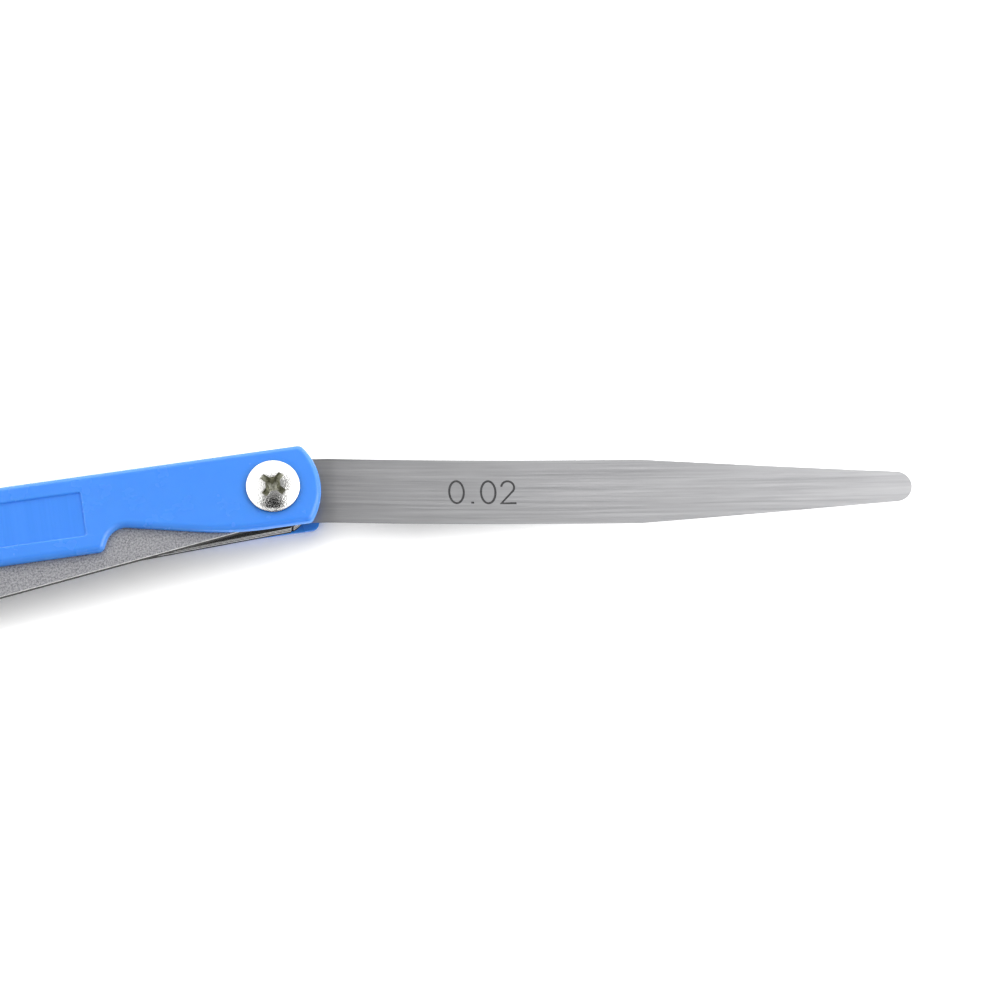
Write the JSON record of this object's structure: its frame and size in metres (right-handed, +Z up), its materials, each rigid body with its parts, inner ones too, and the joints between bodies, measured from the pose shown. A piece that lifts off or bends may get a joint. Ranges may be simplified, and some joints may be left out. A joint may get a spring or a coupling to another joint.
{
  "type": "feeler gauge",
  "caption": "Folding feeler gauge with a fan of tapered steel leaves that swing out of a blue plastic handle on one pivot screw.",
  "frame": {"origin": "on the pivot axis, at the flat outer face of the lower cover, where the sleeve nut's flange lies flush", "axes": "+Z up the pivot axis to the screw head; +X along the handle from its far end to its nose; +Y to the closed spine, so the leaves swing out on the -Y side"},
  "size_m": [0.1951, 0.0207, 0.0102],
  "materials": {
    "cover_plastic": "gloss",
    "leaf_steel": "brushed",
    "grained_steel": "matte",
    "screw_plating": "polished",
    "nut_steel": "satin",
    "leaf_mark": "matte"
  },
  "bodies": {
    "handle": {"lower_cover": "cover_plastic", "upper_cover": "cover_plastic", "sleeve_nut": "nut_steel", "pivot_screw": "screw_plating"},
    "leaf_0_75": {"leaf_0_75": "leaf_steel"},
    "leaf_0_50": {"leaf_0_50": "leaf_steel"},
    "leaf_0_40": {"leaf_0_40": "leaf_steel"},
    "leaf_0_30": {"leaf_0_30": "leaf_steel"},
    "leaf_0_25": {"leaf_0_25": "leaf_steel"},
    "leaf_0_20": {"leaf_0_20": "leaf_steel"},
    "leaf_0_15": {"leaf_0_15": "leaf_steel"},
    "leaf_0_10": {"leaf_0_10": "leaf_steel"},
    "leaf_0_09": {"leaf_0_09": "leaf_steel"},
    "leaf_0_08": {"leaf_0_08": "leaf_steel"},
    "leaf_0_07": {"leaf_0_07": "leaf_steel"},
    "leaf_0_06": {"leaf_0_06": "leaf_steel"},
    "leaf_0_05": {"leaf_0_05": "leaf_steel"},
    "leaf_0_04": {"leaf_0_04": "leaf_steel"},
    "leaf_0_03": {"leaf_0_03": "leaf_steel"},
    "leaf_0_02": {"leaf_0_02": "leaf_steel"},
    "leaf_1_00": {"leaf_1_00": "grained_steel"}
  },
  "joints": [
    {"name": "swing_0_75", "type": "hinge", "parent": "handle", "child": "leaf_0_75", "pos_m": [0, 0, 0], "axis": [0, 0, 1], "range_deg": [-2.7, 297.3]},
    {"name": "swing_0_50", "type": "hinge", "parent": "handle", "child": "leaf_0_50", "pos_m": [0, 0, 0], "axis": [0, 0, 1], "range_deg": [-2.76, 297.24]},
    {"name": "swing_0_40", "type": "hinge", "parent": "handle", "child": "leaf_0_40", "pos_m": [0, 0, 0], "axis": [0, 0, 1], "range_deg": [-2.93, 297.07]},
    {"name": "swing_0_30", "type": "hinge", "parent": "handle", "child": "leaf_0_30", "pos_m": [0, 0, 0], "axis": [0, 0, 1], "range_deg": [-3.27, 296.73]},
    {"name": "swing_0_25", "type": "hinge", "parent": "handle", "child": "leaf_0_25", "pos_m": [0, 0, 0], "axis": [0, 0, 1], "range_deg": [-3.76, 296.24]},
    {"name": "swing_0_20", "type": "hinge", "parent": "handle", "child": "leaf_0_20", "pos_m": [0, 0, 0], "axis": [0, 0, 1], "range_deg": [-4.29, 295.71]},
    {"name": "swing_0_15", "type": "hinge", "parent": "handle", "child": "leaf_0_15", "pos_m": [0, 0, 0], "axis": [0, 0, 1], "range_deg": [-4.75, 295.25]},
    {"name": "swing_0_10", "type": "hinge", "parent": "handle", "child": "leaf_0_10", "pos_m": [0, 0, 0], "axis": [0, 0, 1], "range_deg": [-5.05, 294.95]},
    {"name": "swing_0_09", "type": "hinge", "parent": "handle", "child": "leaf_0_09", "pos_m": [0, 0, 0], "axis": [0, 0, 1], "range_deg": [-5.18, 294.82]},
    {"name": "swing_0_08", "type": "hinge", "parent": "handle", "child": "leaf_0_08", "pos_m": [0, 0, 0], "axis": [0, 0, 1], "range_deg": [-5.23, 294.77]},
    {"name": "swing_0_07", "type": "hinge", "parent": "handle", "child": "leaf_0_07", "pos_m": [0, 0, 0], "axis": [0, 0, 1], "range_deg": [-5.3, 294.7]},
    {"name": "swing_0_06", "type": "hinge", "parent": "handle", "child": "leaf_0_06", "pos_m": [0, 0, 0], "axis": [0, 0, 1], "range_deg": [-5.51, 294.49]},
    {"name": "swing_0_05", "type": "hinge", "parent": "handle", "child": "leaf_0_05", "pos_m": [0, 0, 0], "axis": [0, 0, 1], "range_deg": [-5.89, 294.11]},
    {"name": "swing_0_04", "type": "hinge", "parent": "handle", "child": "leaf_0_04", "pos_m": [0, 0, 0], "axis": [0, 0, 1], "range_deg": [-6.4, 293.6]},
    {"name": "swing_0_03", "type": "hinge", "parent": "handle", "child": "leaf_0_03", "pos_m": [0, 0, 0], "axis": [0, 0, 1], "range_deg": [-6.93, 293.07]},
    {"name": "swing_0_02", "type": "hinge", "parent": "handle", "child": "leaf_0_02", "pos_m": [0, 0, 0], "axis": [0, 0, 1], "range_deg": [-173.4, 126.6]},
    {"name": "swing_1_00", "type": "hinge", "parent": "handle", "child": "leaf_1_00", "pos_m": [0, 0, 0], "axis": [0, 0, 1], "range_deg": [-7.61, 292.39]}
  ]
}
